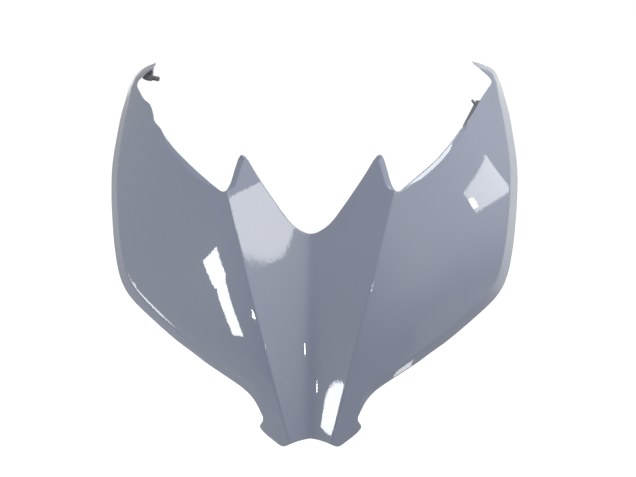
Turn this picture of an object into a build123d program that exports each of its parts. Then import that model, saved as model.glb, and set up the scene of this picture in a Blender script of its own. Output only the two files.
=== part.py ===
"""Upper front fairing panel of a motorcycle: one moulded, painted shell.

Units are millimetres, +Z is up, the panel faces -Y, and X = 0 is its middle plane.
The origin is midway between the end faces of the two rear screw bosses.

The shell is laid out in its own draw frame (u, v, d): u across, v up along the face,
d straight back into the panel.  The draw frame leans back by LEAN about the X axis.
"""
import math
import os

from build123d import *

os.makedirs("parts", exist_ok=True)

# ------------------------------------------------------------------ driving dimensions
LEAN = 30.0            # lean of the face from upright, degrees
WALL = 2.8             # wall thickness
SIGHT = 1500.0         # the outline tables are laid off on cones of this length
V_MID = 238.5          # table row that lies at v = 0

RIDGE_U0 = 73.0        # half distance between the two ridges at v = 0
RIDGE_RATE = 0.25      # the ridges spread by this much per mm of height
RIDGE_R = 2.5          # rounding along the ridges
VALLEY_A = 6.8         # softness of the centre valley
WING_EASE = 300.0      # the wings straighten outwards over this distance

BACK_D0 = 113.5        # the side returns end on a plane, d = BACK_D0 + BACK_RATE * v
BACK_RATE = 0.37
RETURN_MAX = 26.0      # greatest extra depth of a side return
RIM_W, RIM_D = 5.6, 4.5   # turned-back rim of the top edges: width and depth

BOSS_U = 105.0         # screw bosses: half spacing, outer and hole radii, hole depth
BOSS_R = 5.5
BOSS_HOLE_R = 2.1
BOSS_HOLE_DEPTH = 16.0
BOSS_Y = 45.0          # boss end plane and boss height in the unshifted frame
BOSS_Z = -13.0
GUSSET_T = 2.2         # gusset ribs beside each boss
PEG_R = 2.7            # locating peg
PIN_R = 1.4            # small snap pin
SPINE_H = 12.0         # rib down the middle of the back
HORN_WEB_D = 139.0     # depth of the web under the left horn

CL, SL = math.cos(math.radians(LEAN)), math.sin(math.radians(LEAN))


# ------------------------------------------------------------------ form of the shell
def frame(u, v, d):
    """Draw frame to part frame."""
    return (u, d * CL + v * SL - BOSS_Y, v * CL - d * SL - BOSS_Z)


def ridge_u(v):
    return RIDGE_U0 + RIDGE_RATE * v


def ridge_d(v):
    return (v + 86.5) ** 2 / 1200.0


def centre_d(u, v):
    """Depth of the centre panel: two planes that fall from the ridges to a soft valley."""
    fall = 0.366 - 0.00084 * v
    return ridge_d(v) + fall * (ridge_u(v) - math.hypot(u, VALLEY_A))


def wing_d(u, v):
    """Depth of a wing: falls away from its ridge, more and more steeply outwards."""
    s = u - ridge_u(v)
    rate = 0.320 + 0.00096 * v + 6.8e-6 * v * v
    bulge = 0.00279 + 3.8e-6 * v + 4.55e-8 * v * v
    t = max(s, 0.0) / WING_EASE
    return ridge_d(v) + rate * s + 2.0 * bulge * WING_EASE ** 2 * (t - math.log1p(t))


def skin_d(u, v):
    return max(centre_d(u, v), wing_d(abs(u), v))


def wall_factor(fn, u, v):
    """Depth through the wall per unit of wall thickness."""
    e = 0.5
    du = (fn(u + e, v) - fn(u - e, v)) / (2 * e)
    dv = (fn(u, v + e) - fn(u, v - e)) / (2 * e)
    return math.sqrt(1.0 + du * du + dv * dv)


def lay_off(x, row, extra=0.0):
    """Table entry (half width, row) to (u, v, d) on the skin, extra mm behind it."""
    d = 0.0
    for _ in range(40):
        k = 1.0 + d / SIGHT
        u, v = x * k, (V_MID - row) * k
        d = skin_d(u, v) + (extra(u, v) if callable(extra) else extra)
    return (u, v, d)


# ------------------------------------------------------------------ outline tables
# (half width, row); rows run downwards, one unit is about one millimetre
ARCH = [(0, 438.3), (8.5, 440.0), (19.5, 443.9), (25.0, 446.2)]
TONGUE = [(31.0, 445.0), (37.0, 440.4), (47.0, 432.0), (49.6, 429.0)]
TAB = [(50.8, 426.2), (49.8, 423.8), (47.7, 420.6)]
LOWER = [(47.4, 416.5), (49.5, 412), (53.5, 404), (59.2, 396), (68.0, 388), (79.6, 380),
         (91.7, 372), (103.7, 364), (119.8, 352), (130.8, 344), (150.2, 328),
         (159.2, 320), (168.0, 312), (176.4, 304), (183.4, 296), (188.6, 288),
         (192.2, 280), (194.7, 272), (196.5, 264), (199.0, 248), (200.4, 236),
         (201.4, 224), (202.2, 212), (202.8, 200), (203.0, 188), (202.9, 176),
         (202.2, 164), (200.7, 152), (198.4, 138), (195.9, 124), (192.8, 110),
         (189.1, 97), (185.2, 84.5)]
HORN_OUT_R = [(183.2, 80), (181.6, 75.4), (178.8, 71.0), (171.8, 66.8), (164.6, 63.8),
              (157.6, 62.2)]
HORN_OUT_L = [(182.6, 80), (180.4, 76.0), (176.4, 72.0), (171.4, 68.2), (164.6, 64.8),
              (157.9, 62.6)]
HORN_IN_R = [(160.4, 64.4), (168.0, 72.0), (174.6, 78.4), (176.6, 81.6), (176.0, 85.0),
             (173.5, 89.0), (170.6, 93.4)]
HORN_IN_L = [(159.6, 66.0), (159.4, 69.6), (163.4, 70.3), (171.2, 77.0), (175.6, 81.6),
             (176.6, 85.4), (174.6, 90.2), (171.3, 96.0)]
WING_TOP_R = [(166.3, 100.6), (161.2, 110.0), (155.2, 120.0), (147.8, 130.0),
              (140.7, 140.0), (131.2, 152.0), (124.2, 160.0), (115.7, 168.0),
              (106.4, 176.0), (97.2, 184.0), (91.8, 188.9)]
WING_TOP_L = [(168.2, 100.0), (163.4, 103.8), (160.6, 109.6), (158.9, 116.0),
              (158.3, 119.8), (155.7, 124.0), (151.6, 128.4), (149.3, 132.4),
              (144.4, 140.0), (134.2, 152.0), (126.0, 160.0), (117.5, 168.0),
              (108.4, 176.0), (98.8, 184.0), (92.4, 188.9)]
VALLEY = [(88.2, 191.4), (85.6, 191.4), (83.2, 189.2)]
PRONG_OUT = [(80.6, 184.0), (76.9, 172.0), (73.5, 161.0)]
PRONG_TIP = [(72.2, 157.4), (69.0, 154.9), (65.7, 156.4)]
PRONG_IN = [(62.3, 160.6), (55.8, 171.6), (47.8, 184.0), (37.2, 199.6), (28.4, 212.0),
            (19.2, 223.4), (14.0, 227.8), (7.0, 231.9), (3.0, 233.3), (0.0, 233.6)]


def return_depth(u, v):
    """Extra depth of the edge return below the skin at its free edge."""
    side = min(RETURN_MAX, max(4.0, BACK_D0 + BACK_RATE * v - skin_d(u, v)))
    side *= 1.0 - 0.6 * max(0.0, min(1.0, (v - 165.0) / 32.0))
    low = 4.0 + max(0.0, min(1.0, (v + 165.0) / 100.0)) * 5.0
    mix = max(0.0, min(1.0, (v + 80.0) / 40.0))
    mix = mix * mix * (3 - 2 * mix)
    return low + (side - low) * mix


def return_width(v):
    if v > 150.0:
        return 11.5 - 4.5 * min(1.0, (v - 150.0) / 40.0)
    return 11.5 - 4.5 * max(0.0, min(1.0, (-60.0 - v) / 110.0))


# ------------------------------------------------------------------ shared surfaces
U_MAX, V_LO, V_HI = 246.0, -236.0, 224.0
U_GRID = [-U_MAX + 2 * U_MAX * i / 28 for i in range(29)]
V_GRID = [V_LO + (V_HI - V_LO) * j / 24 for j in range(25)]
BACK = Vector(*frame(0, 0, 1)) - Vector(*frame(0, 0, 0))     # unit vector straight back


def skin_face(fn, inset):
    rows = []
    for v in V_GRID:
        rows.append([frame(u, v, fn(u, v) + inset * wall_factor(fn, u, v)) for u in U_GRID])
    return Face.make_surface_from_array_of_points(rows, tol=0.02, min_deg=3, max_deg=6)


def edge_face(side, edge, width, inset, fore, aft):
    """Ruled face of a turned-back edge, run on in front of the skin and past its free edge."""
    a_pts, b_pts = [], []
    for i, (u, v, d) in enumerate(edge):
        u0, v0, _ = edge[max(i - 1, 0)]
        u1, v1, _ = edge[min(i + 1, len(edge) - 1)]
        length = math.hypot(u1 - u0, v1 - v0)
        nu, nv = -(v1 - v0) / length, (u1 - u0) / length       # points into the panel
        w = width(v)
        cu, cv = u + nu * w, v + nv * w
        cd = skin_d(cu, cv)
        slope = math.atan2(d - cd, w)
        shift = inset / max(0.35, math.sin(slope))
        a_pts.append(Vector(*frame(side * (cu + nu * (fore * w + shift)),
                                   cv + nv * (fore * w + shift), cd - fore * (d - cd))))
        b_pts.append(Vector(*frame(side * (u - nu * (aft * w - shift)),
                                   v - nv * (aft * w - shift), d + aft * (d - cd))))
    return Face.make_surface_from_curves(Edge.make_spline(a_pts), Edge.make_spline(b_pts))


def return_face(side, inset, fore, aft):
    """Edge return from the neck round the lower corner and up to the horn tip."""
    horn = HORN_OUT_R if side > 0 else HORN_OUT_L
    edge = [lay_off(x, row, return_depth) for x, row in LOWER[2:] + horn]
    return edge_face(side, edge, return_width, inset, fore, aft)


def rim_face(side, inset, fore, aft):
    """Turned-back rim along the wing's top edge, the valley and the prong's edge, past its tip."""
    top = WING_TOP_R[2:] if side > 0 else WING_TOP_L[7:]
    edge = [lay_off(x, row, RIM_D) for x, row in top + VALLEY + PRONG_OUT + [(70.6, 151.6)]]
    return edge_face(side, edge, lambda v: RIM_W, inset, fore, aft)


centre_out, centre_in = skin_face(centre_d, 0.0), skin_face(centre_d, WALL)
wing_r_out, wing_r_in = skin_face(wing_d, 0.0), skin_face(wing_d, WALL)
wing_l_out = skin_face(lambda u, v: wing_d(-u, v), 0.0)
wing_l_in = skin_face(lambda u, v: wing_d(-u, v), WALL)

# everything behind the outer skin, with its rounded ridges and turned-back edges
with BuildPart() as behind:
    extrude(centre_out, amount=420, dir=BACK)
    extrude(wing_r_out, amount=420, dir=BACK, mode=Mode.INTERSECT)
    extrude(wing_l_out, amount=420, dir=BACK, mode=Mode.INTERSECT)
    ridges = behind.edges().filter_by(
        lambda e: 40 < abs((e @ 0.5).X) < 100 and e.length > 300
        and abs(abs((e @ 0).X) - abs((e @ 1).X)) > 50)
    fillet(ridges, radius=RIDGE_R)
    for side in (1, -1):
        extrude(return_face(side, 0.0, 0.3, 0.3), amount=-420, dir=BACK, mode=Mode.SUBTRACT)
        extrude(rim_face(side, 0.0, 0.4, 0.6), amount=-420, dir=BACK, mode=Mode.SUBTRACT)

# the hollow behind the inner skin
with BuildPart() as core:
    extrude(centre_in, amount=420, dir=BACK)
    extrude(wing_r_in, amount=420, dir=BACK, mode=Mode.INTERSECT)
    extrude(wing_l_in, amount=420, dir=BACK, mode=Mode.INTERSECT)
    for side in (1, -1):
        extrude(return_face(side, WALL, 0.35, 0.8), amount=-420, dir=BACK, mode=Mode.SUBTRACT)
        extrude(rim_face(side, WALL, 0.4, 0.95), amount=-420, dir=BACK, mode=Mode.SUBTRACT)


# ------------------------------------------------------------------ outline of the panel
DRAW = Plane(origin=frame(0, 0, -60), x_dir=(1, 0, 0), z_dir=-BACK)


def run(side, table, extra=0.0):
    return [(side * u, v) for u, v, _ in (lay_off(x, row, extra) for x, row in table)]


with BuildSketch(DRAW) as outline:
    with BuildLine():
        for side in (1, -1):
            horn_out, horn_in, wing_top = ((HORN_OUT_R, HORN_IN_R, WING_TOP_R) if side > 0
                                           else (HORN_OUT_L, HORN_IN_L, WING_TOP_L))
            arch = run(side, ARCH)
            tongue = run(side, TONGUE)
            tab = run(side, TAB)
            outer = run(side, LOWER + horn_out, return_depth)
            inner = run(side, horn_in, 4.0)
            top = run(side, wing_top, RIM_D)
            valley = run(side, VALLEY, RIM_D)
            prong_out = run(side, PRONG_OUT, RIM_D)
            tip = run(side, PRONG_TIP, RIM_D / 2)
            prong_in = run(side, PRONG_IN)
            blunt = 0 if side > 0 else 2          # the left horn has a blunt end
            Spline(*arch)
            Spline(arch[-1], ((arch[-1][0] + tongue[0][0]) / 2, arch[-1][1] - 0.3), tongue[0])
            Spline(*tongue)
            Spline(tongue[-1], *tab[:2])
            Polyline(tab[1], tab[2], outer[0])
            Spline(*outer)
            Polyline(outer[-1], *inner[:blunt + 1])
            Spline(*inner[blunt:], *top)
            Spline(top[-1], *valley)
            Spline(valley[-1], *prong_out)
            Spline(prong_out[-1], *tip)
            Line(tip[-1], prong_in[0])
            Spline(*prong_in)
    make_face()


# ------------------------------------------------------------------ features on the back
def at(x, row, d):
    """Table entry at a stated depth, in the part frame."""
    k = 1.0 + d / SIGHT
    return Vector(*frame(x * k, (V_MID - row) * k, d))


def across(v):
    """Plane square to v: local x is u, local y is d."""
    return Plane(origin=frame(0, v, 0), x_dir=(1, 0, 0), z_dir=(0, SL, CL))


PIN_FOOT, PIN_END = at(162.6, 106.4, 107.0), at(158.0, 100.4, 107.0)
PEG_FOOT, PEG_END = at(-165.0, 77.1, HORN_WEB_D + 5.0), at(-154.6, 79.0, HORN_WEB_D + 5.0)

with BuildPart() as fittings:
    # screw bosses, each with a cross of gussets
    with BuildSketch(Plane.XZ):
        with Locations((BOSS_U, 0), (-BOSS_U, 0)):
            Circle(BOSS_R)
    extrude(amount=70)
    for side in (1, -1):
        b = side * BOSS_U
        with BuildSketch(Plane.XY):
            with BuildLine():
                Polyline((b - 24, -60), (b - 24, -26), (b - 5, -6), (b + 5, -6), (b + 24, -26),
                         (b + 24, -60), close=True)
            make_face()
        extrude(amount=GUSSET_T / 2, both=True)
        with BuildSketch(Plane.YZ.offset(b)):
            with BuildLine():
                Polyline((-70, -24), (-34, -24), (-6, -5), (-6, 5), (-16, 24), (-70, 24),
                         close=True)
            make_face()
        extrude(amount=GUSSET_T / 2, both=True)
    # stiffening rib down the back of the centre valley
    with BuildSketch(Plane.YZ):
        with BuildLine():
            Polyline(*[frame(0, v, centre_d(0, v) + SPINE_H * k)[1:]
                       for v, k in ((-150, 0.0), (-138, 1.0), (-100, 1.0), (-60, 1.0), (-28, 1.0),
                                    (-16, 0.0), (-16, -3.0), (-60, -3.0), (-100, -3.0),
                                    (-150, -3.0))], close=True)
        make_face()
    extrude(amount=GUSSET_T / 2, both=True)
    # locating strip behind the right wing's top edge, with its snap pin
    for row, free, root in ((127.0, 149.6, 160.0), (99.6, 164.6, 174.4)):
        k = 1.0 + 95.0 / SIGHT
        u0, u1, v = free * k, root * k, (V_MID - row) * k
        with BuildSketch(across(v)):
            with BuildLine():
                Polyline((u0, wing_d(u0, v) + 9.0), (u0 - 1.0, wing_d(u0, v) + 12.0),
                         (u1, wing_d(u1, v) + 7.0), (u1, wing_d(u1, v) + 1.5), close=True)
            make_face()
    loft()
    with BuildSketch(Plane(origin=PIN_FOOT, x_dir=BACK, z_dir=PIN_END - PIN_FOOT)):
        Circle(PIN_R)
    extrude(amount=(PIN_END - PIN_FOOT).length)
    # web and locating peg under the left horn
    with BuildSketch(Plane(origin=frame(0, 0, HORN_WEB_D), x_dir=(1, 0, 0), z_dir=-BACK)):
        with BuildLine():
            k = 1.0 + HORN_WEB_D / SIGHT
            Polyline(*[(-x * k, (V_MID - row) * k) for x, row in
                       ((179.0, 75.5), (168.0, 67.6), (161.4, 69.8), (162.2, 75.0),
                        (163.15, 80.2), (165.6, 80.2), (171.0, 78.8))], close=True)
        make_face()
    extrude(amount=-10)
    # bar that carries the peg on, in front of the web
    with BuildSketch(Plane(origin=frame(0, 0, HORN_WEB_D - 2.7), x_dir=(1, 0, 0), z_dir=-BACK)):
        with BuildLine():
            Polyline(*[(-x * k, (V_MID - row) * k) for x, row in
                       ((163.0, 74.9), (163.9, 79.7), (171.5, 78.3), (170.6, 73.4))], close=True)
        make_face()
    extrude(amount=-8)
    with BuildSketch(Plane(origin=PEG_FOOT, x_dir=BACK, z_dir=PEG_END - PEG_FOOT)):
        Circle(PEG_R)
    extrude(amount=(PEG_END - PEG_FOOT).length)
    add(behind.part, mode=Mode.INTERSECT)

# ------------------------------------------------------------------ the panel
with BuildPart() as fairing_panel:
    extrude(outline.sketch, amount=-480)
    add(behind.part, mode=Mode.INTERSECT)
    add(core.part, mode=Mode.SUBTRACT)
    # the side returns end on one plane
    with BuildSketch(Plane.YZ.offset(-260)):
        with BuildLine():
            Polyline(*[frame(0, v, d)[1:] for v, d in
                       ((-62, BACK_D0 - BACK_RATE * 62 + 0.6), (220, BACK_D0 + BACK_RATE * 220 + 0.6),
                        (220, 460), (-62, 460))], close=True)
        make_face()
    extrude(amount=520, mode=Mode.SUBTRACT)
    add(fittings.part)
    # blind screw holes in the bosses
    with BuildSketch(Plane.XZ):
        with Locations((BOSS_U, 0), (-BOSS_U, 0)):
            Circle(BOSS_HOLE_R)
    extrude(amount=BOSS_HOLE_DEPTH, mode=Mode.SUBTRACT)

print("valid", fairing_panel.part.is_valid, "solids", len(fairing_panel.part.solids()),
      fairing_panel.part.bounding_box())
print("peg", PEG_FOOT, PEG_END, (PEG_END - PEG_FOOT).normalized(), (PEG_END - PEG_FOOT).length)

fairing_panel.part.label = "fairing_panel"
export_step(fairing_panel.part, "parts/fairing_panel.step")
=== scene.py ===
"""Looks of the fairing panel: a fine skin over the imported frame, its paint, and a plain studio.

The skin is laid out in the panel's draw frame (u across, v up along the face, d straight
back, all in millimetres) and turned into the row frame in metres at the end.
"""
import math

import bpy
import numpy as np
from mathutils import Matrix, Vector
from mathutils.geometry import delaunay_2d_cdt
from mathutils.kdtree import KDTree


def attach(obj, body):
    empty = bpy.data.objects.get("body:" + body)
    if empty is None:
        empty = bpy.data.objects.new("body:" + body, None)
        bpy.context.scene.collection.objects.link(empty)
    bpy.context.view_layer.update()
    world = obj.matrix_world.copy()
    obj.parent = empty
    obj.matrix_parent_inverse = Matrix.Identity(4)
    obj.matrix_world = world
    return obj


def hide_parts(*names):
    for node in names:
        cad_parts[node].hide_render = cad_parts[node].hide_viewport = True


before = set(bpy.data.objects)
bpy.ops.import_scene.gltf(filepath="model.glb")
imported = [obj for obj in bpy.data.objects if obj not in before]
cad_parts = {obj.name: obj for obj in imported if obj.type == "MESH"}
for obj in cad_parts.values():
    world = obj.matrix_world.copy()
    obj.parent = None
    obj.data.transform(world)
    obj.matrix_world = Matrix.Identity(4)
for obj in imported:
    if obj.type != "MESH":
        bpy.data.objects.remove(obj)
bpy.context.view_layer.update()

# ------------------------------------------------------------------ form of the shell
LEAN = math.radians(30.0)
CL, SL = math.cos(LEAN), math.sin(LEAN)
BOSS_Y, BOSS_Z = 45.0, -13.0
WALL = 2.8
SIGHT, V_MID = 1500.0, 238.5
BACK_D0, BACK_RATE = 113.5, 0.37
WING_EASE = 300.0
RIM_W, RIM_D = 5.6, 4.5
EDGE_R = 1.0


def to_row(u, v, d):
    """Draw frame to row frame, in metres."""
    u, v, d = np.broadcast_arrays(np.asarray(u, float), np.asarray(v, float), np.asarray(d, float))
    return np.stack([u, d * CL + v * SL - BOSS_Y, v * CL - d * SL - BOSS_Z], -1) * 0.001


def turn(n):
    """A draw-frame direction in the row frame."""
    n = np.asarray(n, float)
    return np.stack([n[..., 0], n[..., 2] * CL + n[..., 1] * SL, n[..., 1] * CL - n[..., 2] * SL], -1)


def ramp(x, a, b):
    t = np.clip((x - a) / (b - a), 0.0, 1.0)
    return t * t * (3 - 2 * t)


def ridge_u(v):
    return 73.0 + 0.25 * v


def ridge_d(v):
    return (v + 86.5) ** 2 / 1200.0


def centre_d(u, v):
    return ridge_d(v) + (0.366 - 0.00084 * v) * (ridge_u(v) - np.hypot(u, 6.8))


def wing_d(u, v):
    s = u - ridge_u(v)
    rate = 0.320 + 0.00096 * v + 6.8e-6 * v * v
    bulge = 0.00279 + 3.8e-6 * v + 4.55e-8 * v * v
    t = np.maximum(s, 0.0) / WING_EASE
    return ridge_d(v) + rate * s + 2.0 * bulge * WING_EASE ** 2 * (t - np.log1p(t))


def smax(a, b, k):
    """Greater of two depths, rounded where they cross."""
    h = np.maximum(k - np.abs(a - b), 0.0)
    return np.maximum(a, b) + h * h / (4.0 * k)


def skin_d(u, v):
    return np.maximum(centre_d(u, v), wing_d(np.abs(u), v))


def base_d(u, v, extra=0.0):
    """The skin with its rounded ridges; extra is the wall, measured square to the skin."""
    c, w = centre_d(u, v), wing_d(np.abs(u), v)
    if extra:
        e = 0.3
        c = c + extra * np.sqrt(1 + ((centre_d(u + e, v) - centre_d(u - e, v)) / (2 * e)) ** 2
                                + ((centre_d(u, v + e) - centre_d(u, v - e)) / (2 * e)) ** 2)
        a = np.abs(u)
        w = w + extra * np.sqrt(1 + ((wing_d(a + e, v) - wing_d(a - e, v)) / (2 * e)) ** 2
                                + ((wing_d(a, v + e) - wing_d(a, v - e)) / (2 * e)) ** 2)
    half = 1.75 - 0.75 * ramp(v, -60.0, 30.0)              # half width of the rounding
    return smax(c, w, 0.70 * half)


def return_depth(u, v):
    side = np.minimum(26.0, np.maximum(4.0, BACK_D0 + BACK_RATE * v - skin_d(u, v)))
    side = side * (1.0 - 0.6 * np.clip((v - 165.0) / 32.0, 0, 1))
    low = 4.0 + np.clip((v + 165.0) / 100.0, 0, 1) * 5.0
    return low + (side - low) * ramp(v, -80.0, -40.0)


def return_width(v):
    return np.where(v > 150.0, 11.5 - 4.5 * np.clip((v - 150.0) / 40.0, 0, 1),
                    11.5 - 4.5 * np.clip((-60.0 - v) / 110.0, 0, 1))


def lay_off(x, row, extra=0.0):
    d = 0.0
    for _ in range(40):
        k = 1.0 + d / SIGHT
        u, v = x * k, (V_MID - row) * k
        d = float(skin_d(u, v)) + (float(extra(u, v)) if callable(extra) else extra)
    return u, v


# ------------------------------------------------------------------ outline tables
ARCH = [(0, 438.3), (8.5, 440.0), (19.5, 443.9), (25.0, 446.2)]
TONGUE = [(31.0, 445.0), (37.0, 440.4), (47.0, 432.0), (49.6, 429.0)]
TAB = [(50.8, 426.2), (49.8, 423.8), (47.7, 420.6)]
LOWER = [(47.4, 416.5), (49.5, 412), (53.5, 404), (59.2, 396), (68.0, 388), (79.6, 380),
         (91.7, 372), (103.7, 364), (119.8, 352), (130.8, 344), (150.2, 328),
         (159.2, 320), (168.0, 312), (176.4, 304), (183.4, 296), (188.6, 288),
         (192.2, 280), (194.7, 272), (196.5, 264), (199.0, 248), (200.4, 236),
         (201.4, 224), (202.2, 212), (202.8, 200), (203.0, 188), (202.9, 176),
         (202.2, 164), (200.7, 152), (198.4, 138), (195.9, 124), (192.8, 110),
         (189.1, 97), (185.2, 84.5)]
HORN_OUT_R = [(183.2, 80), (181.6, 75.4), (178.8, 71.0), (171.8, 66.8), (164.6, 63.8),
              (157.6, 62.2)]
HORN_OUT_L = [(182.6, 80), (180.4, 76.0), (176.4, 72.0), (171.4, 68.2), (164.6, 64.8),
              (157.9, 62.6)]
HORN_IN_R = [(160.4, 64.4), (168.0, 72.0), (174.6, 78.4), (176.6, 81.6), (176.0, 85.0),
             (173.5, 89.0), (170.6, 93.4)]
HORN_IN_L = [(159.6, 66.0), (159.4, 69.6), (163.4, 70.3), (171.2, 77.0), (175.6, 81.6),
             (176.6, 85.4), (174.6, 90.2), (171.3, 96.0)]
WING_TOP_R = [(166.3, 100.6), (161.2, 110.0), (155.2, 120.0), (147.8, 130.0),
              (140.7, 140.0), (131.2, 152.0), (124.2, 160.0), (115.7, 168.0),
              (106.4, 176.0), (97.2, 184.0), (91.8, 188.9)]
WING_TOP_L = [(168.2, 100.0), (163.4, 103.8), (160.6, 109.6), (158.9, 116.0),
              (158.3, 119.8), (155.7, 124.0), (151.6, 128.4), (149.3, 132.4),
              (144.4, 140.0), (134.2, 152.0), (126.0, 160.0), (117.5, 168.0),
              (108.4, 176.0), (98.8, 184.0), (92.4, 188.9)]
VALLEY = [(88.2, 191.4), (85.6, 191.4), (83.2, 189.2)]
PRONG_OUT = [(80.6, 184.0), (76.9, 172.0), (73.5, 161.0)]
PRONG_TIP = [(72.2, 157.4), (69.0, 154.9), (65.7, 156.4)]
PRONG_IN = [(62.3, 160.6), (55.8, 171.6), (47.8, 184.0), (37.2, 199.6), (28.4, 212.0),
            (19.2, 223.4), (14.0, 227.8), (7.0, 231.9), (3.0, 233.3), (0.0, 233.6)]

FINE = 0.325            # spacing of the outline's samples; the mesh uses every fourth
SKIP = 4


def spline(pts):
    """Cubic spline through the points, sampled evenly; the sample count is a multiple of SKIP."""
    p = np.array(pts, float)
    h = np.hypot(*np.diff(p, axis=0).T)
    t = np.r_[0.0, np.cumsum(h)]
    n = len(p)
    m = np.zeros((n, 2))
    if n > 2:
        a, r = np.eye(n), np.zeros((n, 2))
        for i in range(1, n - 1):
            a[i, i - 1], a[i, i], a[i, i + 1] = h[i - 1], 2 * (h[i - 1] + h[i]), h[i]
            r[i] = 6 * ((p[i + 1] - p[i]) / h[i] - (p[i] - p[i - 1]) / h[i - 1])
        m = np.linalg.solve(a, r)
    count = max(1, int(round(t[-1] / FINE / SKIP))) * SKIP
    s = np.linspace(0.0, t[-1], count + 1)
    i = np.clip(np.searchsorted(t, s, side="right") - 1, 0, n - 2)
    x, y = (t[i + 1] - s)[:, None], (s - t[i])[:, None]
    hi = h[i][:, None]
    return (m[i] * x ** 3 + m[i + 1] * y ** 3) / (6 * hi) \
        + (p[i] / hi - m[i] * hi / 6) * x + (p[i + 1] / hi - m[i + 1] * hi / 6) * y


PLAIN, RETURN, RIM = 0, 1, 2


def half_outline(side):
    """One side's outline from the foot's middle round to the notch's middle: points and kinds."""
    horn_out, horn_in, wing_top = ((HORN_OUT_R, HORN_IN_R, WING_TOP_R) if side > 0
                                   else (HORN_OUT_L, HORN_IN_L, WING_TOP_L))

    def run(table, extra=0.0):
        return [lay_off(x, row, extra) for x, row in table]

    arch, tongue, tab = run(ARCH), run(TONGUE), run(TAB)
    outer = run(LOWER + horn_out, return_depth)
    inner, top = run(horn_in, 4.0), run(wing_top, RIM_D)
    valley, prong_out = run(VALLEY, RIM_D), run(PRONG_OUT, RIM_D)
    tip, prong_in = run(PRONG_TIP, RIM_D / 2), run(PRONG_IN)
    blunt = 0 if side > 0 else 2
    plain_top = 2 if side > 0 else 7
    mid = ((arch[-1][0] + tongue[0][0]) / 2, arch[-1][1] - 0.3)
    inner_top = spline(inner[blunt:] + top)
    first = np.array(top[plain_top])
    split = int(np.argmin(np.hypot(*(inner_top - first).T)))
    split -= split % SKIP
    over_tip = spline([prong_out[-1]] + tip)
    top_of = int(np.argmin(np.hypot(*(over_tip - np.array(tip[1])).T)))
    top_of -= top_of % SKIP
    pieces = [(spline(arch), PLAIN), (spline([arch[-1], mid, tongue[0]]), PLAIN),
              (spline(tongue), PLAIN), (spline([tongue[-1]] + tab[:2]), PLAIN),
              (spline(tab[1:3]), PLAIN), (spline([tab[2], outer[0]]), PLAIN),
              (spline(outer), RETURN)]
    ends = [outer[-1]] + inner[:blunt + 1]
    pieces += [(spline(ends[i:i + 2]), PLAIN) for i in range(len(ends) - 1)]
    pieces += [(inner_top[:split + 1], PLAIN), (inner_top[split:], RIM),
               (spline([top[-1]] + valley), RIM), (spline([valley[-1]] + prong_out), RIM),
               (over_tip[:top_of + 1], RIM), (over_tip[top_of:], PLAIN),
               (spline([tip[-1], prong_in[0]]), PLAIN),
               (spline(prong_in), PLAIN)]
    pts = np.concatenate([p[:-1] for p, _ in pieces] + [pieces[-1][0][-1:]])
    kinds = np.concatenate([np.full(len(p) - 1, k) for p, k in pieces] + [[pieces[-1][1]]])
    pts[:, 0] *= side
    return pts, kinds


right, right_kind = half_outline(1)
left, left_kind = half_outline(-1)
# once round, anticlockwise as seen from the front
RING = np.concatenate([right[:-1], left[::-1][:-1]])
KIND = np.concatenate([right_kind[:-1], left_kind[::-1][:-1]]).astype(int)
COUNT = len(RING)

_t = np.roll(RING, -1, 0) - np.roll(RING, 1, 0)
for _ in range(2):
    _t = (np.roll(_t, 1, 0) + 2 * _t + np.roll(_t, -1, 0)) / 4
TANGENT = _t / np.linalg.norm(_t, axis=1)[:, None]
INWARD = np.stack([-TANGENT[:, 1], TANGENT[:, 0]], 1)


def fade(kind, run_in, run_out):
    """1 along a kind of edge, easing to 0 at the ends of each stretch of it."""
    out = np.zeros(COUNT)
    start = int(np.argmax(KIND != kind))
    order = (np.arange(COUNT) + start) % COUNT
    stretch = []
    for i in list(order) + [-1]:
        if i >= 0 and KIND[i] == kind:
            stretch.append(i)
        elif stretch:
            s = np.arange(len(stretch)) * FINE
            a, b = (run_in, run_out) if RING[stretch[0], 0] > 0 else (run_out, run_in)
            out[stretch] = np.minimum(ramp(s, 0.0, a), ramp(s[::-1], 0.0, b))
            stretch = []
    return out


RET_FADE = fade(RETURN, 46.0, 0.001)
valley_foot = np.array(lay_off(*VALLEY[len(VALLEY) // 2], RIM_D))
from_foot = np.abs(RING[:, 0]) - valley_foot[0]
RIM_FADE = fade(RIM, 14.0, 3.0) * np.maximum(
    np.where(from_foot > 0, ramp(np.hypot(from_foot, RING[:, 1] - valley_foot[1]), 1.0, 30.0), 0.0),
    1.0 - ramp(from_foot, -5.5, 0.5))
RET_D = return_depth(RING[:, 0], RING[:, 1]) * RET_FADE
RET_W = return_width(RING[:, 1])
RET_SOFT = 1.0 + 2.6 * (1.0 - ramp(RING[:, 1], -85.0, -25.0))      # half width of the bend


class Edge:
    """Distance from a stretch of the outline, with the stretch's own values beside it."""

    def __init__(self, mask):
        self.index = np.where(mask)[0]
        self.tree = KDTree(len(self.index))
        for k, i in enumerate(self.index):
            self.tree.insert((RING[i, 0], RING[i, 1], 0.0), k)
        self.tree.balance()

    def find(self, u, v):
        near = np.array([self.tree.find((x, y, 0.0))[1] for x, y in zip(u, v)], int)
        i = self.index[near]
        du, dv = u - RING[i, 0], v - RING[i, 1]
        along = du * TANGENT[i, 0] + dv * TANGENT[i, 1]
        square = du * INWARD[i, 0] + dv * INWARD[i, 1]
        past = np.maximum(np.abs(along) - FINE * 0.75, 0.0)
        q = np.where(past > 0, np.sign(square + 1e-12) * np.hypot(square, past), square)
        f = np.clip(along / FINE, -0.75, 0.75)
        j = (i + np.where(f >= 0, 1, -1)) % COUNT
        return q, i, j, np.abs(f)


ret_edge, rim_edge, any_edge = Edge(RET_FADE > 0), Edge(RIM_FADE > 0), Edge(KIND >= 0)


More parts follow.
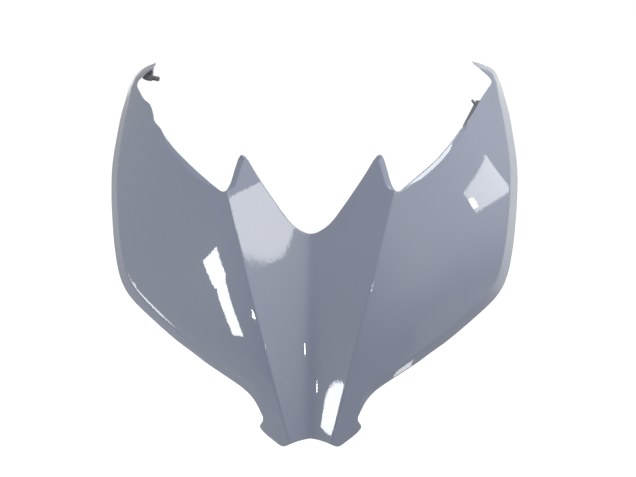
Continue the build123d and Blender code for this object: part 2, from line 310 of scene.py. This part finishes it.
def between(values, i, j, f):
    return values[i] * (1 - f) + values[j] * f


def surfaces(u, v, rounded=True):
    """Depth of the outer and of the inner skin."""
    outer, inner = base_d(u, v), base_d(u, v, WALL)
    thick = inner - outer
    q, i, j, f = ret_edge.find(u, v)
    deep, wide = between(RET_D, i, j, f), between(RET_W, i, j, f)
    soft = between(RET_SOFT, i, j, f)
    slope = deep / wide
    fall = deep - slope * q
    out_ret = smax(0.0 * q, fall, np.maximum(slope * soft, 1e-3))
    in_ret = smax(thick, fall + WALL * np.sqrt(1 + slope ** 2), np.maximum(slope * soft * 0.6, 1e-3))
    q, i, j, f = rim_edge.find(u, v)
    left = between(RIM_FADE, i, j, f)
    deep = RIM_D * left
    slope = RIM_D / RIM_W * ramp(left, 0.0, 0.2)           # the rim runs out in width
    fall = deep - slope * q
    out_rim = smax(0.0 * q, fall, np.maximum(slope * 0.9, 1e-3))
    in_rim = smax(thick, fall + WALL * np.sqrt(1 + slope ** 2), np.maximum(slope * 0.6, 1e-3))
    d_in = outer + np.maximum(in_ret, in_rim)
    d_out = outer + np.maximum(out_ret, out_rim)
    d_in = np.minimum(d_in, BACK_D0 + BACK_RATE * v + 1.7)
    if rounded:
        q = any_edge.find(u, v)[0]
        x = np.clip(EDGE_R - q, 0.0, EDGE_R)
        d_out = d_out + EDGE_R - np.sqrt(np.maximum(EDGE_R ** 2 - x * x, 0.0))
        x = np.clip(0.5 - q, 0.0, 0.5)
        d_in = d_in - 0.5 + np.sqrt(np.maximum(0.25 - x * x, 0.0))
    return d_out, np.maximum(d_in, d_out + 0.35)


def normals(u, v):
    """Front and back directions of the two skins, from their slopes."""
    e = 0.12
    q, i, _, _ = any_edge.find(u, v)
    shift = np.maximum(0.2 - q, 0.0)
    u, v = u + INWARD[i, 0] * shift, v + INWARD[i, 1] * shift
    ao, ai = surfaces(u + e, v)
    bo, bi = surfaces(u - e, v)
    co, ci = surfaces(u, v + e)
    do, di = surfaces(u, v - e)
    out = np.stack([(ao - bo) / (2 * e), (co - do) / (2 * e), -np.ones_like(u)], 1)
    inn = np.stack([-(ai - bi) / (2 * e), -(ci - di) / (2 * e), np.ones_like(u)], 1)
    return (out / np.linalg.norm(out, axis=1)[:, None], inn / np.linalg.norm(inn, axis=1)[:, None])


# ------------------------------------------------------------------ points of the mesh
class Field:
    """Points kept apart by a least distance."""

    def __init__(self):
        self.pts, self.cell = [], {}

    def add(self, pts, gap):
        for x, y in pts:
            a, b = int(math.floor(x / 3.0)), int(math.floor(y / 3.0))
            close = any((x - px) ** 2 + (y - py) ** 2 < gap * gap
                        for i in (a - 1, a, a + 1) for j in (b - 1, b, b + 1)
                        for px, py in self.cell.get((i, j), ()))
            if not close:
                self.pts.append((x, y))
                self.cell.setdefault((a, b), []).append((x, y))


coarse = np.arange(0, COUNT, SKIP)
field = Field()
field.add(RING[coarse], 0.0)
N_EDGE = len(field.pts)


def keep_inside(p, margin):
    q = any_edge.find(p[:, 0], p[:, 1])[0]
    return p[q > margin]


def rings(mask, distance, gap, step=1):
    """Points at a distance inside the outline, where nothing else of the outline is nearer."""
    i = coarse[mask[coarse]][::step]
    dist = np.broadcast_to(distance, (COUNT,))[i]
    p = RING[i] + INWARD[i] * dist[:, None]
    q = any_edge.find(p[:, 0], p[:, 1])[0]
    field.add(p[q > dist * 0.94], gap)


every = np.ones(COUNT, bool)
for dist, gap in ((0.13, 0.1), (0.4, 0.2), (0.75, 0.25), (1.15, 0.3)):
    rings(every, dist, gap)
on_ret, on_rim = RET_FADE > 0, RIM_FADE > 0
for k in (-1.0, -0.5, 0.0, 0.5, 1.0, 1.6):
    rings(on_ret, RET_W + k * RET_SOFT, 0.5)
for dist in (1.9, 2.7, 3.4):
    rings(on_ret, dist, 0.5)
for share in (0.45, 0.7):
    rings(on_ret, RET_W * share, 0.8)
for dist in (2.0, 3.2, 4.7, 5.2, 5.7, 6.3, 7.4):
    rings(on_rim, dist, 0.4)
rings(every, 2.1, 0.7)
rings(every, 3.6, 1.1)

v_run = np.arange(-214.0, 96.0, 2.0)
for off in (0.0, 0.5, 1.0, 1.6, 2.3, 3.4):
    for sign in ((1,) if off == 0 else (1, -1)):
        for side in (1, -1):
            p = np.stack([side * (ridge_u(v_run) + sign * off), v_run], 1)
            field.add(keep_inside(p, 0.35), 0.4)
v_run = np.arange(-214.0, 20.0, 2.6)
for u in (0.0, 2.4, 4.9, 7.6, 10.8, 14.4):
    for side in ((1,) if u == 0 else (1, -1)):
        p = np.stack([np.full_like(v_run, side * u), v_run], 1)
        field.add(keep_inside(p, 1.6), 0.9)
gu, gv = np.meshgrid(np.arange(-225.0, 225.0, 3.4), np.arange(-225.0, 215.0, 2.95))
gu = gu + np.where(np.arange(gu.shape[0]) % 2 == 0, 0.0, 1.7)[:, None]
grid = np.stack([gu.ravel(), gv.ravel()], 1)
lo, hi = RING.min(0), RING.max(0)
grid = grid[((grid > lo) & (grid < hi)).all(1)]
field.add(keep_inside(grid, 3.0), 1.7)

flat, _, tris, came_from, _, _ = delaunay_2d_cdt(
    [Vector(p) for p in field.pts], [], [list(range(N_EDGE))], 1, 1e-5)
UV = np.array([(p.x, p.y) for p in flat])
TRI = np.array([t for t in tris if len(t) == 3], int)
slot_of = np.full(N_EDGE, -1, int)
for new, old in enumerate(came_from):
    for o in old:
        if o < N_EDGE:
            slot_of[o] = new
a, b, c = UV[TRI[:, 0]], UV[TRI[:, 1]], UV[TRI[:, 2]]
area = (b[:, 0] - a[:, 0]) * (c[:, 1] - a[:, 1]) - (b[:, 1] - a[:, 1]) * (c[:, 0] - a[:, 0])
TRI[area < 0] = TRI[area < 0][:, ::-1]
print("skin points", len(UV), "triangles", len(TRI), "edge", N_EDGE)

d_out, d_in = surfaces(UV[:, 0], UV[:, 1])
n_out, n_in = normals(UV[:, 0], UV[:, 1])
N = len(UV)

verts = [to_row(UV[:, 0], UV[:, 1], d_out), to_row(UV[:, 0], UV[:, 1], d_in)]
faces, loops, mats = [], [], []
OUT, INN = turn(n_out), turn(n_in)
for t in TRI:
    faces.append(tuple(t))
    loops.extend(OUT[t])
    mats.append(0)
for t in TRI[:, ::-1]:
    faces.append(tuple(t + N))
    loops.extend(INN[t])
    mats.append(1)
side_n = turn(np.concatenate([-INWARD[coarse], np.zeros((len(coarse), 1))], 1))
for k in range(N_EDGE):
    m = (k + 1) % N_EDGE
    i, j = slot_of[k], slot_of[m]
    faces.append((i, i + N, j + N, j))
    loops.extend([side_n[k], side_n[k], side_n[m], side_n[m]])
    mats.append(0)
total = 2 * N


# ------------------------------------------------------------------ fittings on the back
def add_solid(v, f, mat, angle=40.0):
    """Adds a closed solid; corners sharper than the angle stay sharp."""
    global total
    v = np.asarray(v, float)
    fn = []
    for face in f:
        p = v[list(face)]
        n = np.zeros(3)
        for i in range(len(p)):
            n += np.cross(p[i], p[(i + 1) % len(p)])
        fn.append(n)
    fn = np.array(fn)
    unit = fn / np.maximum(np.linalg.norm(fn, axis=1), 1e-15)[:, None]
    users = {}
    for k, face in enumerate(f):
        for i in face:
            users.setdefault(i, []).append(k)
    limit = math.cos(math.radians(angle))
    for k, face in enumerate(f):
        for i in face:
            n = sum(fn[m] for m in users[i] if unit[m] @ unit[k] > limit)
            loops.append(n / max(np.linalg.norm(n), 1e-15))
        faces.append(tuple(i + total for i in face))
        mats.append(mat)
    verts.append(v)
    total += len(v)


def lathe(foot, end, profile, mat, turns=36, root=None):
    """Round solid: profile is (distance along foot to end, radius), first and last on the axis.

    Where root is given, the points at distance 0 lie at the row-frame y it gives for (x, z)."""
    foot, end = np.asarray(foot, float), np.asarray(end, float)
    axis = (end - foot) / np.linalg.norm(end - foot)
    side = np.cross(axis, [0.0, 0.3, 1.0])
    side /= np.linalg.norm(side)
    other = np.cross(axis, side)
    v, f, rows = [], [], []
    for s, r in profile:
        if r <= 0:
            rows.append([len(v)])
            v.append(foot + axis * s)
        else:
            rows.append(list(range(len(v), len(v) + turns)))
            v += [foot + axis * s + r * (side * math.cos(2 * math.pi * i / turns)
                                         + other * math.sin(2 * math.pi * i / turns))
                  for i in range(turns)]
    for a, b in zip(rows, rows[1:]):
        for i in range(turns):
            j = (i + 1) % turns
            if len(a) == 1 and len(b) > 1:
                f.append((a[0], b[j], b[i]))
            elif len(b) == 1 and len(a) > 1:
                f.append((a[i], a[j], b[0]))
            elif len(a) > 1:
                f.append((a[i], a[j], b[j], b[i]))
    if root:
        start = len(rows[0]) + len(rows[1])
        for p in v[:start]:
            p[1] = root(p[0] * 1000, p[2] * 1000) * 0.001
    add_solid(v, f, mat)


def plate(outline, thick, mat, bevel=0.35):
    """Flat rib: outline is a ring of row-frame points in mm, thick a vector in mm, edges eased."""
    p = np.asarray(outline, float)
    thick = np.asarray(thick, float)
    t = thick / np.linalg.norm(thick)
    centre = p.mean(0)
    n = len(p)
    prev, nxt = np.roll(p, 1, 0), np.roll(p, -1, 0)
    e1 = (p - prev) / np.maximum(np.linalg.norm(p - prev, axis=1), 1e-9)[:, None]
    e2 = (nxt - p) / np.maximum(np.linalg.norm(nxt - p, axis=1), 1e-9)[:, None]
    s1, s2 = np.cross(t, e1), np.cross(t, e2)
    turn_sign = np.sign(np.sum(np.cross(p - centre, nxt - centre) @ t))
    m = (s1 + s2) * turn_sign
    m = m / np.maximum((np.linalg.norm(m, axis=1) ** 2 / 2), 0.3)[:, None]
    small = p + m * bevel
    h = np.linalg.norm(thick) / 2
    v = np.concatenate([small - t * h, p - t * (h - bevel), p + t * (h - bevel), small + t * h]) * 0.001
    f = []
    for r in range(3):
        for i in range(n):
            j = (i + 1) % n
            f.append((r * n + i, r * n + j, (r + 1) * n + j, (r + 1) * n + i))
    f.append(tuple(range(n))[::-1])
    f.append(tuple(range(3 * n, 4 * n)))
    if turn_sign < 0:
        f = [q[::-1] for q in f]
    add_solid(v, f, mat, 30.0)


def mid_wall_y(x, z):
    """Row-frame y (mm) of the middle of the wall at a given x and z (mm)."""
    lo_y, hi_y = -160.0, 200.0
    for _ in range(50):
        y = (lo_y + hi_y) / 2
        yy, zz = y + BOSS_Y, z + BOSS_Z
        v, d = yy * SL + zz * CL, yy * CL - zz * SL
        if d > float(skin_d(x, v)) + 1.4:
            hi_y = y
        else:
            lo_y = y
    return (lo_y + hi_y) / 2


def at(x, row, d):
    k = 1.0 + d / SIGHT
    return to_row(x * k, (V_MID - row) * k, d)


for side in (1, -1):
    b = side * 105.0
    root = mid_wall_y(b, 0.0)
    deep = -root
    lathe((b * 0.001, root * 0.001, 0.0), (b * 0.001, 0.0, 0.0),
          [(0.0, 0.0), (0.0, 0.0062), ((deep - 0.5) * 0.001, 0.0055), ((deep - 0.12) * 0.001, 0.00538),
           (deep * 0.001, 0.0050), (deep * 0.001, 0.0025), ((deep - 0.4) * 0.001, 0.0021),
           ((deep - 15.6) * 0.001, 0.0021), ((deep - 16.0) * 0.001, 0.0018), ((deep - 16.0) * 0.001, 0.0)],
          1, root=mid_wall_y)
    xs = np.linspace(b - 24.0, b + 24.0, 25)
    free = np.interp(xs, [b - 24, b - 5, b + 5, b + 24], [-26.0, -6.0, -6.0, -26.0])
    rooty = np.array([mid_wall_y(x, 0.0) for x in xs])
    ok = free > rooty + 1.0
    ring = [(x, y, 0.0) for x, y in zip(xs[ok], free[ok])] + \
           [(x, y, 0.0) for x, y in zip(xs[ok][::-1], rooty[ok][::-1])]
    plate(ring, (0, 0, 2.2), 1)
    zs = np.linspace(-24.0, 24.0, 25)
    free = np.interp(zs, [-24, -5, 5, 24], [-34.0, -6.0, -6.0, -16.0])
    rooty = np.array([mid_wall_y(b, z) for z in zs])
    ok = free > rooty + 1.0
    ring = [(b, y, z) for y, z in zip(free[ok], zs[ok])] + \
           [(b, y, z) for y, z in zip(rooty[ok][::-1], zs[ok][::-1])]
    plate(ring, (2.2, 0, 0), 1)

vs = np.linspace(-150.0, -16.0, 28)
lift = np.interp(vs, [-150, -138, -28, -16], [2.0, 12.0, 12.0, 2.0])
ring = [to_row(0.0, v, centre_d(0.0, v) + h) * 1000 for v, h in zip(vs, lift)] + \
       [to_row(0.0, v, centre_d(0.0, v) + 1.4) * 1000 for v in vs[::-1]]
plate(ring, (2.2, 0, 0), 1)

# locating strip behind the right wing's top edge
corners = []
for share in np.linspace(0.0, 1.0, 9):
    row = 127.0 + (99.6 - 127.0) * share
    free, root = 149.6 + (164.6 - 149.6) * share, 160.0 + (174.4 - 160.0) * share
    k = 1.0 + 95.0 / SIGHT
    u0, u1, v = free * k, root * k, (V_MID - row) * k
    corners.append([to_row(u0, v, wing_d(u0, v) + 9.0), to_row(u0 - 1.0, v, wing_d(u0, v) + 12.0),
                    to_row(u1, v, wing_d(u1, v) + 7.0), to_row(u1, v, wing_d(u1, v) + 1.6)])
sv = [p for c in corners for p in c]
sf = [(4 * r + i, 4 * r + 4 + i, 4 * r + 4 + (i + 1) % 4, 4 * r + (i + 1) % 4)
      for r in range(8) for i in range(4)]
sf += [(0, 1, 2, 3), (35, 34, 33, 32)]
add_solid(sv, sf, 1, 30.0)
foot, end = at(162.6, 106.4, 107.0), at(158.0, 100.4, 107.0)
size = float(np.linalg.norm(end - foot))
lathe(foot, end, [(0, 0), (0, 0.0014), (size - 0.0008, 0.0014), (size - 0.0003, 0.0011), (size, 0.0005),
                  (size, 0)], 1, 20)

# web and locating peg under the left horn
def slab(corners, d):
    k = 1.0 + 139.0 / SIGHT
    return [to_row(-x * k, (V_MID - row) * k, d) * 1000 for x, row in corners]


plate(slab(((172.4, 77.4), (166.8, 69.4), (161.4, 69.8), (162.2, 75.0), (163.15, 80.2), (165.6, 80.2),
            (170.4, 79.0)), 144.0), turn([0, 0, 1]) * 10.0, 1, 0.5)
plate(slab(((163.0, 74.9), (163.9, 79.7), (171.5, 78.3), (170.6, 73.4)), 140.3),
      turn([0, 0, 1]) * 8.0, 1, 0.5)
foot, end = at(-165.0, 77.1, 144.0), at(-154.6, 79.0, 144.0)
size = float(np.linalg.norm(end - foot))
lathe(foot, end, [(0, 0), (0, 0.0027), (size - 0.0011, 0.0027), (size - 0.0005, 0.0024), (size, 0.0015),
                  (size, 0)], 1, 28)

# ------------------------------------------------------------------ the piece
mesh = bpy.data.meshes.new("fairing_panel_skin")
mesh.from_pydata(np.concatenate(verts).tolist(), [], [tuple(int(i) for i in f) for f in faces])
mesh.polygons.foreach_set("material_index", np.array(mats, np.int32))
mesh.polygons.foreach_set("use_smooth", np.ones(len(faces), bool))
mesh.update()
mesh.normals_split_custom_set([tuple(n) for n in loops])
panel = bpy.data.objects.new("fairing_panel_skin", mesh)
bpy.context.scene.collection.objects.link(panel)


# ------------------------------------------------------------------ materials
def node(tree, kind, **values):
    n = tree.nodes.new(kind)
    for k, val in values.items():
        if k.startswith("i_"):
            n.inputs[k[2:].replace("_", " ")].default_value = val
        else:
            setattr(n, k, val)
    return n


def paint_material():
    m = bpy.data.materials.new("gloss_paint")
    m.use_nodes = True
    t = m.node_tree
    s = t.nodes["Principled BSDF"]
    link = t.links.new
    where = node(t, "ShaderNodeTexCoord")
    # slow drift of tone and the fine cloud of pigment
    drift = node(t, "ShaderNodeTexNoise", i_Scale=9.0, i_Detail=3.0, i_Roughness=0.55)
    cloud = node(t, "ShaderNodeTexNoise", i_Scale=1400.0, i_Detail=2.0, i_Roughness=0.6)
    link(where.outputs["Object"], drift.inputs["Vector"])
    link(where.outputs["Object"], cloud.inputs["Vector"])
    tone = node(t, "ShaderNodeMix", data_type="RGBA")
    tone.inputs["A"].default_value = (0.154, 0.170, 0.222, 1)
    tone.inputs["B"].default_value = (0.171, 0.188, 0.241, 1)
    link(drift.outputs["Fac"], tone.inputs["Factor"])
    fleck = node(t, "ShaderNodeMix", data_type="RGBA", blend_type="SOFT_LIGHT")
    fleck.inputs["Factor"].default_value = 0.10
    link(tone.outputs["Result"], fleck.inputs["A"])
    link(cloud.outputs["Color"], fleck.inputs["B"])
    link(fleck.outputs["Result"], s.inputs["Base Color"])
    # orange peel under the clear coat
    peel = node(t, "ShaderNodeTexNoise", i_Scale=420.0, i_Detail=1.5, i_Roughness=0.5)
    link(where.outputs["Object"], peel.inputs["Vector"])
    bump = node(t, "ShaderNodeBump", i_Strength=0.035, i_Distance=0.00025)
    link(peel.outputs["Fac"], bump.inputs["Height"])
    link(bump.outputs["Normal"], s.inputs["Coat Normal"])
    rough = node(t, "ShaderNodeMapRange")
    rough.inputs["To Min"].default_value = 0.34
    rough.inputs["To Max"].default_value = 0.42
    link(drift.outputs["Fac"], rough.inputs["Value"])
    link(rough.outputs["Result"], s.inputs["Roughness"])
    s.inputs["Specular IOR Level"].default_value = 0.05
    s.inputs["Coat Weight"].default_value = 1.0
    s.inputs["Coat Roughness"].default_value = 0.025
    s.inputs["Coat IOR"].default_value = 1.5
    return m


def plastic_material():
    m = bpy.data.materials.new("moulded_back")
    m.use_nodes = True
    t = m.node_tree
    s = t.nodes["Principled BSDF"]
    link = t.links.new
    where = node(t, "ShaderNodeTexCoord")
    drift = node(t, "ShaderNodeTexNoise", i_Scale=14.0, i_Detail=4.0, i_Roughness=0.6)
    grain = node(t, "ShaderNodeTexNoise", i_Scale=1100.0, i_Detail=3.0, i_Roughness=0.6)
    link(where.outputs["Object"], drift.inputs["Vector"])
    link(where.outputs["Object"], grain.inputs["Vector"])
    tone = node(t, "ShaderNodeMix", data_type="RGBA")
    tone.inputs["A"].default_value = (0.088, 0.093, 0.103, 1)
    tone.inputs["B"].default_value = (0.118, 0.124, 0.136, 1)
    link(drift.outputs["Fac"], tone.inputs["Factor"])
    link(tone.outputs["Result"], s.inputs["Base Color"])
    bump = node(t, "ShaderNodeBump", i_Strength=0.18, i_Distance=0.0002)
    link(grain.outputs["Fac"], bump.inputs["Height"])
    link(bump.outputs["Normal"], s.inputs["Normal"])
    rough = node(t, "ShaderNodeMapRange")
    rough.inputs["To Min"].default_value = 0.46
    rough.inputs["To Max"].default_value = 0.62
    link(drift.outputs["Fac"], rough.inputs["Value"])
    link(rough.outputs["Result"], s.inputs["Roughness"])
    return m


mesh.materials.append(paint_material())
mesh.materials.append(plastic_material())
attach(panel, "root")
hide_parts("fairing_panel")

# ------------------------------------------------------------------ studio
scene = bpy.context.scene
scene.view_settings.view_transform = "Standard"
world = bpy.data.worlds.new("studio")
scene.world = world
world.use_nodes = True
wt = world.node_tree
sky = wt.nodes["Background"]
sky.inputs["Color"].default_value = (0.97, 0.985, 1.0, 1)
toward = node(wt, "ShaderNodeTexCoord")


def eased(tree, source, kind, value, lo, hi, at_lo, at_hi):
    """A level that eases from at_lo to at_hi with the dot product or distance to a vector."""
    along = node(tree, "ShaderNodeVectorMath", operation=kind)
    along.inputs[1].default_value = value
    tree.links.new(source, along.inputs[0])
    level = node(tree, "ShaderNodeMapRange", interpolation_type="SMOOTHSTEP")
    for name, amount in (("From Min", lo), ("From Max", hi), ("To Min", at_lo), ("To Max", at_hi)):
        level.inputs[name].default_value = amount
    tree.links.new(along.outputs["Value"], level.inputs["Value"])
    return level.outputs["Result"]


def product(tree, a, b, operation="MULTIPLY"):
    times = node(tree, "ShaderNodeMath", operation=operation)
    tree.links.new(a, times.inputs[0])
    tree.links.new(b, times.inputs[1])
    return times.outputs["Value"]


# the room: bright to the right, dimmer to the left, dark in front where the camera stands
way = toward.outputs["Generated"]
sides = node(wt, "ShaderNodeMix", data_type="FLOAT")
wt.links.new(eased(wt, way, "DOT_PRODUCT", (1, 0, 0), -0.3, 0.6, 0.0, 1.0), sides.inputs["Factor"])
wt.links.new(eased(wt, way, "DOT_PRODUCT", (0, 0, 1), 0.30, 0.85, 0.84, 0.55), sides.inputs["A"])
wt.links.new(eased(wt, way, "DOT_PRODUCT", (0, 0, 1), -0.02, 0.35, 0.84, 2.0), sides.inputs["B"])
wt.links.new(product(wt, sides.outputs["Result"],
                     eased(wt, way, "DOT_PRODUCT", (0, -1, 0), 0.45, 0.97, 1.0, 0.10)),
             sky.inputs["Strength"])

floor_mesh = bpy.data.meshes.new("floor")
floor_mesh.from_pydata([(-30, -30, -0.8), (30, -30, -0.8), (30, 30, -0.8), (-30, 30, -0.8)], [], [(0, 1, 2, 3)])
floor = bpy.data.objects.new("floor", floor_mesh)
scene.collection.objects.link(floor)
fm = bpy.data.materials.new("floor")
fm.use_nodes = True
fs = fm.node_tree.nodes["Principled BSDF"]
fs.inputs["Roughness"].default_value = 0.9
fs.inputs["Specular IOR Level"].default_value = 0.0
# painted shade: the white floor's colour is toned down to pale grey to the left of the view and towards the
# front right, standing in for dimmer parts of the studio so the panel reflects less light there
ft = fm.node_tree
where = node(ft, "ShaderNodeTexCoord").outputs["Object"]
shade = product(ft, eased(ft, where, "DOT_PRODUCT", (1.0, 0.2, 0.0), -0.66, -0.47, 0.0, 1.0),
                eased(ft, where, "DOT_PRODUCT", (0.0, 1.0, 0.0), -0.75, -0.15, 1.0, 0.0), "MAXIMUM")
shade = product(ft, shade, product(ft, eased(ft, where, "DOT_PRODUCT", (-0.65, -1.0, 0.0), -0.4, 0.3, 1.0, 0.0),
                                   eased(ft, where, "DOT_PRODUCT", (1.0, 0.0, 0.0), -0.5, 0.1, 1.0, 0.0),
                                   "MAXIMUM"))
shade = product(ft, shade, eased(ft, where, "DISTANCE", (0.9, -0.15, -0.8), 0.40, 0.80, 0.0, 1.0))
shade = product(ft, shade, eased(ft, where, "DOT_PRODUCT", (-1.0, 0.0, 0.0), 2.2, 6.0, 1.0, 0.6))
# painted shade on the floor: pale grey where the masks above call for shade, white elsewhere
floor_painted_shade = node(ft, "ShaderNodeMix", data_type="RGBA")
floor_painted_shade.inputs["A"].default_value = (0.45, 0.45, 0.45, 1)
floor_painted_shade.inputs["B"].default_value = (0.93, 0.925, 0.90, 1)
ft.links.new(shade, floor_painted_shade.inputs["Factor"])
ft.links.new(floor_painted_shade.outputs["Result"], fs.inputs["Base Color"])
floor_mesh.materials.append(fm)


def softbox(name, azimuth, elevation, roll, wide, high, radiance, reach=1.7, color=(1, 1, 1)):
    """Area light facing the panel from a direction; azimuth 0 is straight in front, + is to the right."""
    a, e, r = math.radians(azimuth), math.radians(elevation), math.radians(roll)
    n = Vector((math.sin(a) * math.cos(e), -math.cos(a) * math.cos(e), math.sin(e)))
    x = Vector((0, 0, 1)).cross(n).normalized()
    y = n.cross(x)
    x, y = x * math.cos(r) + y * math.sin(r), y * math.cos(r) - x * math.sin(r)
    place = Vector((0, 0, -0.02)) + n * reach
    light = bpy.data.lights.new(name, "AREA")
    light.shape = "RECTANGLE"
    light.size, light.size_y, light.color = wide, high, color
    light.energy = radiance * math.pi * wide * high
    o = bpy.data.objects.new(name, light)
    o.matrix_world = Matrix(((x[0], y[0], n[0], place[0]), (x[1], y[1], n[1], place[1]),
                             (x[2], y[2], n[2], place[2]), (0, 0, 0, 1)))
    o.visible_camera = False
    scene.collection.objects.link(o)
    return o


softbox("left box, high end", -57.6, 15.0, 55.3, 0.238, 0.236, 18.5)
softbox("left box, low end", -51.9, 8.8, 30.7, 0.170, 0.505, 18.5)
softbox("right high box", 60.1, 47.5, -5.4, 0.513, 0.546, 7.2)
softbox("right side box", 97.0, 15.3, -9.5, 0.49, 0.115, 6.0)
softbox("right lamp", 89.8, 16.0, -14.0, 0.058, 0.045, 24.0)
softbox("top back box", 152.0, 66.0, 0.0, 0.40, 0.35, 11.0)
softbox("left low box", -83.6, -15.6, 14.0, 0.18, 0.42, 9.0, reach=1.2)
softbox("right low lamp", 77.4, -45.0, 0.0, 0.06, 0.05, 6.0, reach=0.845)
softbox("front lamp, right", 32.0, 22.7, 0.0, 0.07, 0.07, 50.0)
softbox("front lamp, left", -38.0, 13.0, 0.0, 0.06, 0.06, 50.0)
softbox("front high box", 34.0, 55.5, 0.0, 0.30, 0.28, 9.0)

# camera at the photograph's viewing angle: about 30 degrees above, 1.5 m away
YAW = math.radians(1.5)
DIST = 1500.0
aim = np.array([8.1, 0.0, 0.0])
ahead = np.array([-math.sin(YAW), 0.0, math.cos(YAW)])
eye = to_row(*(aim - DIST * ahead))
right_w = turn([math.cos(YAW), 0.0, math.sin(YAW)])
up_w = turn([0.0, 1.0, 0.0])
back_w = -turn(ahead)
cam_data = bpy.data.cameras.new("camera")
cam_data.sensor_fit = "HORIZONTAL"
cam_data.sensor_width = 36.0
cam_data.lens = 36.0 / 636.0 * 1503.0
cam = bpy.data.objects.new("camera", cam_data)
cam.matrix_world = Matrix(((right_w[0], up_w[0], back_w[0], eye[0]),
                           (right_w[1], up_w[1], back_w[1], eye[1]),
                           (right_w[2], up_w[2], back_w[2], eye[2]),
                           (0, 0, 0, 1)))
scene.collection.objects.link(cam)
scene.camera = cam
